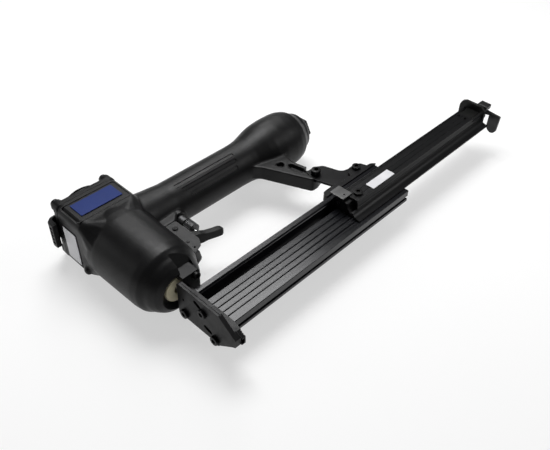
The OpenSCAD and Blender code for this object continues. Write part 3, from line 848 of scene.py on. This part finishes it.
def make_plates():
    head = soften(prism("Z", rounded(rectangle(-21.5, 173.5, 20.5, 191.5), 0.6),
                        HEAD, HEAD + 0.6), 0.15)
    piece("head_plate_plain", head, FINISH["blue_plate"], "tool", "blue_plate", "head_plate")
    front = soften(prism("X", rounded(rectangle(174, -21, 193, 14), 0.8),
                         -HEAD - 0.6, -HEAD), 0.15)
    piece("front_plate_plain", front, FINISH["grey_plate"], "tool", "grey_plate", "front_plate")
    label = soften(prism("Z", rounded(rectangle(203, 34.6, 236, 44), 0.6),
                         SLIDER_Z, SLIDER_Z + 0.35), 0.1)
    piece("slider_plate_plain", label, FINISH["grey_plate"], "slider", "grey_plate", "slider_plate")


# ---- trigger -----------------------------------------------------------------------------------

def make_trigger():
    lever = prism("Z", rounded([
        (PIVOT.x - 2.5, PIVOT.y + 1), (PIVOT.x + 3, PIVOT.y + 1), (PIVOT.x + 4, PIVOT.y - 3), (46, 117),
        (56, 112.4), (66, 109), (71.5, 107.4), (74.6, 105), (74.4, 102.6), (72, 101.6), (65, 103.6),
        (55, 107.2), (46, 111), (41, 115), (37, 121),
    ], [1, 1, 2, 8, 6, 6, 2, 2, 2, 2, 6, 6, 6, 4, 4]), -5.8, 5.8)
    hub = rod("Z", -5.8, 5.8, 3.4, centre=PIVOT.xy, steps=48)
    body = fused(lever, hub)
    channel = prism("Z", rounded([(43, 124), (43, 119.5), (49, 116.4), (51, 122)], 1.5), -4, 4)
    tip = prism("Y", [
        (-8, 50), (-8, 78), (8, 78), (8, 50), (6, 50), (5.6, 54), (4.4, 58), (4.1, 62), (4.1, 70), (3.4, 73),
        (1.6, 74.6), (-1.6, 74.6), (-3.4, 73), (-4.1, 70), (-4.1, 62), (-4.4, 58), (-5.6, 54), (-6, 50),
    ], 92, 119)
    body = soften(cut(body, tip, channel), 1.6, 4, 35)
    body = cut(body, rod("Z", -7, 7, 1.55, centre=PIVOT.xy, steps=32))
    piece("trigger_lever", body, FINISH["black_plastic"], "trigger", "black_plastic", "trigger")

    outline = [(28.5, 134), (45.5, 134), (45.5, 103), (42, 96), (30, 91), (26.5, 98)]
    outline = rounded(outline, [0, 1, 3, 3, 3, 3])
    sides = joined(*[prism("Z", outline, z, z + 2) for z in (-9, 7)])
    cutters = joined(*[
        rod("Z", -11, 11, r, centre=(x, y), steps=32)
        for x, y, r in ((*RIVET, 1.05), (35.5, 96.5, 1.2), (*PIVOT.xy, 1.55))
    ])
    barrel = lathe("Y", [(60, 0), (60, 32.55), (92, 32.55), (150, BARREL_R + 0.05), (150, 0)], steps=128)
    sides = soften(cut(sides, barrel), 0.35, 2, 50)
    piece("trigger_side_plates", cut(sides, cutters), FINISH["satin_steel"], "tool", "nose_steel",
          "trigger_plates")

    pin = lathe("Z", [
        (-10.2, 0), (-10.2, 2.1), (-9.8, 2.6), (-9.02, 2.6), (-9.02, 1.45), (9.02, 1.45), (9.02, 2.6),
        (9.8, 2.6), (10.2, 2.1), (10.2, 0),
    ], centre=PIVOT.xy, steps=40)
    notch = block((PIVOT.x - 3, PIVOT.y - 0.4, 9.7), (PIVOT.x + 3, PIVOT.y + 0.4, 11))
    piece("trigger_pin_turned", cut(pin, notch), FINISH["screw_black"], "tool", "screw_black", "trigger_pin")
    rivet = lathe("Z", [(-9.5, 0), (-9.5, 1.2), (-9.1, 1.6), (-9.0, 1.0), (9.0, 1.0), (9.1, 1.6), (9.5, 1.2),
                        (9.5, 0)], centre=RIVET, steps=32)
    piece("plate_rivet_turned", rivet, FINISH["screw_black"], "tool", "screw_black", "plate_rivets")


def make_trigger_valve():
    teeth = 26
    outline = []
    for k in range(teeth):
        for step, radius in ((0, 6.0), (0.25, 6.5), (0.5, 6.5), (0.75, 6.0)):
            angle = math.tau * (k + step) / teeth
            outline.append((radius * math.cos(angle), VALVE_X + radius * math.sin(angle)))
    knurl = soften(prism("Y", outline, 121, 130), 0.12, 1, 60)
    core = lathe("Y", [
        (120.6, 0), (120.6, 4.9), (121.3, 5.6), (121.5, 5.0), (132.5, 5.0), (132.5, 5.9), (151, 5.9),
        (151.3, 5.7), (151.3, 0),
    ], centre=VALVE_AXIS, steps=64)
    bore = lathe("Y", [
        (119, 0), (119, 2.6), (121.2, 2.05), (128, 2.05), (128, 4), (148, 4), (148, 2.05), (153, 2.05),
        (153, 0),
    ], centre=VALVE_AXIS, steps=48)
    piece("trigger_valve_knurled", cut(fused(knurl, core), bore), FINISH["valve_body"], "tool", "valve_body",
          "trigger_valve_body", sharp=30)
    ring = lathe("Y", [
        (131.5 + 0.8 * math.sin(a), 5.7 + 0.8 * math.cos(a)) for a in [math.tau * k / 16 for k in range(16)]
    ], centre=VALVE_AXIS, steps=64, closed=True)
    piece("trigger_valve_o_ring", ring, FINISH["seal_rubber"], "tool", "seal_rubber", "trigger_valve_ring")
    spring = coil("Y", VALVE_AXIS, 131.4, 16.4, 3, 0.35, 8)
    spring = piece("trigger_valve_coil", spring, FINISH["spring_steel"], "tool", "spring_steel",
                   "trigger_valve_spring")
    squash_spring(spring, "Y")


def squash_spring(obj, axis):
    """Clears the spring's modifiers and gives it a mesh of its own."""
    obj.modifiers.clear()
    direction = point(axis, 1, 0, 0)
    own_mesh(obj)


# ---- nose --------------------------------------------------------------------------------------

NOSE_SCREWS = ((61, -12.5), (38.5, 5.5), (25, -15))
GUIDE_TOP = 7.0
FACE_BACK = -3.0
FLANGE_BACK = 16.5
FLANGE_SCREW_X = 12.0
NOSE_TOP = 69.0


def nose_outline(tip, top=NOSE_HALF):
    return rounded([
        (NOSE_TOP, top), (20, min(top, NOSE_HALF)), (5, 6), (tip, 4), (tip, -4), (5, -6), (20, -NOSE_HALF),
        (NOSE_TOP, -NOSE_HALF),
    ], [2.5, 3, 2, 1, 1, 2, 3, 1])


def make_nose():
    guide = prism("X", rounded([
        (NOSE_TOP, GUIDE_TOP), (6.2, GUIDE_TOP), (5, 6), (0, 4), (0, -4), (5, -6), (20, -NOSE_HALF),
        (NOSE_TOP, -NOSE_HALF),
    ], [0, 1, 1, 1, 1, 2, 3, 1]), -1.3, 4.5)
    flange = prism("Y", rounded([
        (-NOSE_HALF, -1.3), (NOSE_HALF, -1.3), (NOSE_HALF, FLANGE_BACK), (-NOSE_HALF, FLANGE_BACK),
    ], [0.8, 0.8, 2, 2]), NOSE_TOP - 0.5, FLANGE_TOP)
    body = soften(fused(guide, flange), 0.5, 2, 40)
    track = block((-2.3, -1, -2.8), (1.3, 95, 2.8))
    slot_in = block((0, 21, BED_Z), (6, 58, BED_Z + 3))
    neck = rod("Y", 71, 92, 13.2, steps=64)
    holes = [rod("X", -6, 7, 1.6, centre=p, steps=24) for p in NOSE_SCREWS]
    holes += [rod("Y", 68, 90, 2, centre=(z, FLANGE_SCREW_X), steps=24)
              for z in (-13, 13)]
    ribs = [block((1.6, y, -7), (6, y + 0.7, 7)) for y in (1.4, 3.2, 5.0)]
    taper = prism("Z", [(2.2, -1), (2.2, 3), (4.6, 16), (8, 16), (8, -1)], -20, 20)
    body = cut(body, track, slot_in, neck, joined(*holes), taper, joined(*ribs))
    piece("nose_block", body, FINISH["nose_steel"], "tool", "nose_steel", "nose_body")

    wall = prism("X", nose_outline(1.5), PLATE_FRONT, FACE_BACK)
    step = prism("X", rounded([
        (NOSE_TOP, GUIDE_TOP), (7, GUIDE_TOP), (1.5, 4), (1.5, -4), (5, -6), (20, -NOSE_HALF),
        (NOSE_TOP, -NOSE_HALF),
    ], [0, 1, 1, 1, 2, 3, 1]), FACE_BACK - 0.5, -1.3)
    lugs = [prism("X", disc(*NOSE_SCREWS[k], 5.6, 48), PLATE_FRONT + 0.02, -1.32) for k in (0, 2)]
    front = soften(fused(wall, step, *lugs), 0.9, 3, 40)
    well = [(PLATE_FRONT - 1, 0), (PLATE_FRONT - 1, 4.9), (PLATE_FRONT + 0.5, 4.6), (PLATE_FRONT + 0.5, 1.6),
            (1, 1.6), (1, 0)]
    wells = [lathe("X", well, place, 48) for place in NOSE_SCREWS]
    slots = [prism("X", slot(44.7, 10.5, 9, 2, 25), PLATE_FRONT - 1, PLATE_FRONT + 3),
             prism("X", slot(33.2, -9.4, 10, 2, 18), PLATE_FRONT - 1, PLATE_FRONT + 3)]
    pin_hole = rod("X", PLATE_FRONT - 1, PLATE_FRONT + 3, 1.2, centre=(62, 3), steps=24)
    edge = block((PLATE_FRONT + 1.7, 8, NOSE_HALF - 0.5), (PLATE_FRONT + 2.3, NOSE_TOP + 1, NOSE_HALF + 1))
    front = cut(front, joined(*wells), joined(*slots, pin_hole), edge)
    piece("nose_face_plate", front, FINISH["nose_steel"], "tool", "nose_steel", "nose_front_plate")
    screws = joined(*[
        moved(cap_screw(4.2, 2.9, 1.55, 9), (PLATE_FRONT + 0.52, y, z), "-X") for y, z in NOSE_SCREWS
    ])
    piece("nose_screw_set", screws, FINISH["screw_black"], "tool", "screw_black", "nose_screws")
    under = joined(*[moved(cap_screw(3.6, 3, 1.95, 18), (FLANGE_SCREW_X, 68.5, z), "-Y") for z in (-13, 13)])
    piece("flange_screw_set", under, FINISH["screw_black"], "tool", "screw_black", "nose_flange_screws")


def make_bumper():
    body = lathe("Y", [
        (76, 4.5), (76, 11.6), (76.4, 12.5), (77.2, 12.9), (88, 12.9), (88, 21.6), (88.8, 22.4),
        (107, 22.4), (109, 20.6), (109, 6), (107.5, 4.5),
    ], steps=96, closed=True)
    piece("bumper_moulded", body, FINISH["bumper_urethane"], "tool", "bumper_urethane", "bumper")
    spring = coil("Y", (0, 0), 190.4, 11.9, 14, 0.9, 4)
    spring = piece("head_valve_coil", spring, FINISH["spring_steel"], "tool", "spring_steel",
                   "head_valve_spring")
    squash_spring(spring, "Y")


# ---- magazine ----------------------------------------------------------------------------------

RIB_STEPS = (27, 32.8, 38.8, 44.8, 51)


def make_rail():
    low = RAIL_LOW
    floor_line = []
    for y in RIB_STEPS[:-1]:
        floor_line += [(y - 0.8, BED_Z), (y - 0.65, BED_Z - 1.1), (y + 0.25, BED_Z - 1.1),
                       (y + 0.4, BED_Z + 0.15), (y + 1.0, BED_Z + 0.15), (y + 1.2, BED_Z)]
    outline = [(20, low), (61.4, low), (62, low + 0.6), (62, 6.2), (61.4, 7), (57.0, 7), (56.5, 6.4),
               (56.5, 4.6), (56.1, 4.2), (56.5, 3.6), (56.5, -7), (51, -7), (51, BED_Z - 0.2), (50.8, BED_Z)]
    outline += list(reversed(floor_line))
    outline += [(19.5, BED_Z), (19, BED_Z - 0.5), (19, -7.6), (19.4, -8), (21.4, -8), (21.4, -11),
                (19.4, -11), (19, -11.4), (19, low + 1)]
    body = prism("X", outline, RAIL_START, RAIL_END)
    channel = prism("X", rounded(rectangle(30, low - 1, 50, low + 6), 0.8),
                    RAIL_START - 1, RAIL_END + 1)
    body = cut(body, channel)
    piece("rail_extrusion", body, FINISH["anodised_rail"], "tool", "anodised_rail", "magazine_rail", sharp=25)


def make_clamp():
    bar = prism("Z", rounded([
        (168, 62.02), (168, 65), (171, 68.5), (176, 69), (188, 69), (192, 67), (230, 67), (239, 65.5),
        (243, 62.02),
    ], [0, 2, 2, 1, 2, 2, 3, 2, 0]), -8, 8.3)
    lug = prism("Z", rounded([(208, 64), (212, 72.5), (217, 76), (227, 76), (232, 73), (235, 64)],
                             [0, 4, 5, 5, 4, 0]), 5, 8)
    body = soften(fused(bar, lug), 0.8, 3, 40)
    body = cut(body, rod("Z", -12, 12, M5_R, BAR_SCREW, 32))
    piece("rail_clamp_bar", body, FINISH["nose_steel"], "tool", "nose_steel", "rail_clamp")

    bracket = prism("Z", rounded([
        (182.5, 92), (190.5, 67), (230, 67), (230, 76), (212, 80), (206, 99), (198, 104), (186, 104),
    ], [4, 2, 1, 3, 8, 6, 5, 5]), 2, 5)
    holes = [rod("Z", 0, 9, M5_R, place, 32) for place in (ARM_SCREW, BAR_SCREW)]
    bracket = cut(soften(bracket, 0.5, 2, 40), joined(*holes))
    piece("bracket_plate", bracket, FINISH["nose_steel"], "tool", "nose_steel", "magazine_bracket")
    screws = joined(moved(cap_screw(4.8, 6, 2.45, 12), (*ARM_SCREW, 5)),
                    moved(cap_screw(4.4, 2.8, 2.45, 10), (*BAR_SCREW, 8)))
    piece("bracket_screw_set", screws, FINISH["screw_black"], "tool", "screw_black", "bracket_screws")


OPEN_LEN = 19.5
END_SCREWS = [(SLIDER_END - OPEN_LEN - 5, y) for y in (40, 48)]


def make_slider():
    z = SLIDER_Z
    top = [(33.7, z - 0.5), (34.2, z)]
    for y in (38.4, 43.6, 49.6, 51.2):
        top += [(y, z), (y + 0.2, z - 0.4), (y + 0.5, z - 0.4), (y + 0.7, z)]
    outline = [
        (23.4, -0.6), (23.4, 0.6), (23.9, 0.9), (26.5, 1.2), (29, 2), (31, 3.8), (32.2, 6.0), (32.8, 6.4),
        (32.9, 7.4), (32.5, 7.8), (32.8, 9.4), (33.5, 11), *top, (52.5, z), (53.0, z - 0.2), (55.8, 9.6),
        (56, 9), (56, -0.4), (54.2, -0.4), (54.2, 8.4), (51.6, 11.6), (35.6, 11.6), (34.8, 8.4), (34, 5.4),
        (32.2, 2.4), (29.8, 0.6), (27.5, -0.1), (26, -0.6),
    ]
    body = prism("X", outline, SLIDER_START, SLIDER_END)
    hole = rod("Z", 10, 20, 1.5, centre=(SLIDER_START + 18, 41), steps=32)
    front = prism("Z", rounded([
        (SLIDER_START - 2, 26), (SLIDER_START + 1.2, 26), (SLIDER_START + 8.5, 33), (SLIDER_START + 8.5, 45),
        (SLIDER_START - 2, 45),
    ], [0, 0.5, 2, 1, 0]), 4.5, z + 2)
    rear = block((SLIDER_END - OPEN_LEN, 30, 9.3), (SLIDER_END + 1, 60, z + 5))
    screws = joined(*[rod("Z", 9, 15, 0.62, place, 24) for place in END_SCREWS])
    body = cut(body, hole, front, rear, screws)
    piece("slider_extrusion", body, FINISH["slider_coat"], "slider", "anodised_rail", "slider_cover",
          sharp=25)

    start = SLIDER_START
    tab = prism("Z", rounded(rectangle(start, 44, start + 13, 60), 0.8), z, z + 1.2)
    tab = soften(tab, 0.3, 2, 40)
    tab = cut(tab, rod("Z", z - 1, z + 3, 1, centre=(start + 6, 48), steps=24))
    piece("slider_stop_tab", tab, FINISH["grey_tab"], "slider", "grey_tab", "slider_tab")
    piece("slider_socket_screw", moved(cap_screw(4.4, 2.4, 1.45, 1.8), (start + 18, 41, z)),
          FINISH["screw_black"], "slider", "screw_black", "slider_screw")


def make_slider_end():
    x = SLIDER_END
    plate = soften(prism("X", rounded([
        (31, -1.5), (60, -1.5), (61.5, 0), (61.5, 12), (59.6, 16.5), (55.5, 18.6), (36, 18.6), (31, 15),
    ], [1, 1, 1, 3, 3, 3, 3, 2]), x, x + 4), 0.5, 2, 40)
    foot = soften(block((x - 30, 36.5, 9.9), (x + 0.5, 51, 11.5)), 0.3, 2, 50)
    holes = [rod("X", x - 1, x + 6, 1.52, centre=ROD_AXIS, steps=32)]
    holes += [rod("Z", 8, 15, 0.62, place, 24) for place in END_SCREWS]
    body = cut(fused(plate, foot), joined(*holes))
    piece("slider_end_stamped", body, FINISH["end_plate"], "slider", "end_plate", "slider_end_plate")
    screws = joined(*[moved(cap_screw(1.6, 1.2, 0.6, 3.5), (*place, SLIDER_Z)) for place in END_SCREWS])
    piece("end_plate_screw_set", screws, FINISH["screw_black"], "slider", "screw_black", "end_plate_screws")

    lug_x = x + 4.02
    ears = joined(
        soften(prism("Z", rounded([
            (lug_x, LATCH.y - 4), (LATCH.x, LATCH.y - 4), (LATCH.x + 4, LATCH.y - 2),
            (LATCH.x + 4, LATCH.y + 2), (LATCH.x, LATCH.y + 4), (lug_x, LATCH.y + 4),
        ], [0, 2, 2, 2, 2, 0]), 2.5, 4.5), 0.3, 2, 50),
        soften(block((lug_x, LATCH.y - 6, 13.4), (LATCH.x + 4, LATCH.y + 6, 18.6)), 0.9, 3, 50),
    )
    pin = rod("Z", 4.4, 13.5, 1.98, centre=LATCH.xy, steps=32)
    piece("latch_pin_and_ears", fused(ears, pin), FINISH["latch_steel"], "slider", "latch_steel", "latch_pin")

    arm = prism("Z", rounded([
        (LATCH.x - 4.4, LATCH.y), (404, 28.5), (404, 15.5), (406.4, 15.5), (408, 28.5),
        (LATCH.x + 4.4, LATCH.y),
    ], [0, 2, 0.6, 0.6, 2, 0]), 8, 10.5)
    boss = rod("Z", 8, 10.5, 4.5, centre=LATCH.xy, steps=48)
    tab = prism("X", rounded([
        (15.5, 10.4), (28.5, 10.4), (28.5, -6), (26.5, -9.8), (22.5, -12), (19, -11), (16.6, -8),
    ], [1.5, 0.5, 3, 3, 3, 3, 3]), 404, 406.4)
    lever = soften(fused(arm, boss, tab), 0.5, 3, 50)
    lever = cut(lever, rod("Z", 5, 13, 2.05, centre=LATCH.xy, steps=32))
    piece("latch_lever_stamped", lever, FINISH["latch_steel"], "latch", "latch_steel", "latch_lever")
    spring = coil("Z", LATCH.xy, 10.7, 2.5, 2.8, 0.35, 3)
    piece("latch_coil", spring, FINISH["spring_steel"], "slider", "spring_steel", "latch_spring")


def make_pusher():
    x = SLIDER_START + 1
    block_outline = rounded([
        (32, -0.6), (32, 0.5), (35.6, 2.5), (38.9, 6.4), (39.3, 11.1), (51.2, 11.1), (53.6, 8.2),
        (53.6, -0.6),
    ], [0.3, 0.3, 1, 1, 0.6, 0.6, 0.6, 0.3])
    body = soften(prism("X", block_outline, x, x + 17), 0.3, 2, 50)
    body = cut(body, rod("X", x - 2, x + 20, 1.56, centre=ROD_AXIS, steps=32))
    piece("pusher_block", body, FINISH["black_plastic"], "pusher", "black_plastic", "pusher")
    length = SLIDER_END - SLIDER_START - 19
    spring = coil("X", ROD_AXIS, SLIDER_START + 18.5, length, 2.2, 0.35, 44, 8, 20)
    spring = piece("pusher_coil", spring, FINISH["spring_steel"], "slider", "spring_steel", "pusher_spring")
    squash_spring(spring, "X")


make_housing()
make_cap()
make_deflector()
make_handle_end()
make_plates()
make_trigger()
make_trigger_valve()
make_nose()
make_bumper()
make_rail()
make_clamp()
make_slider()
make_slider_end()
make_pusher()

for node in ("cap_gasket", "cylinder_sleeve", "sleeve_rings", "head_valve", "head_valve_ring", "piston",
             "piston_ring", "driver_blade", "end_cap_ring", "trigger_valve_stem", "pusher_rod"):
    keep(node)
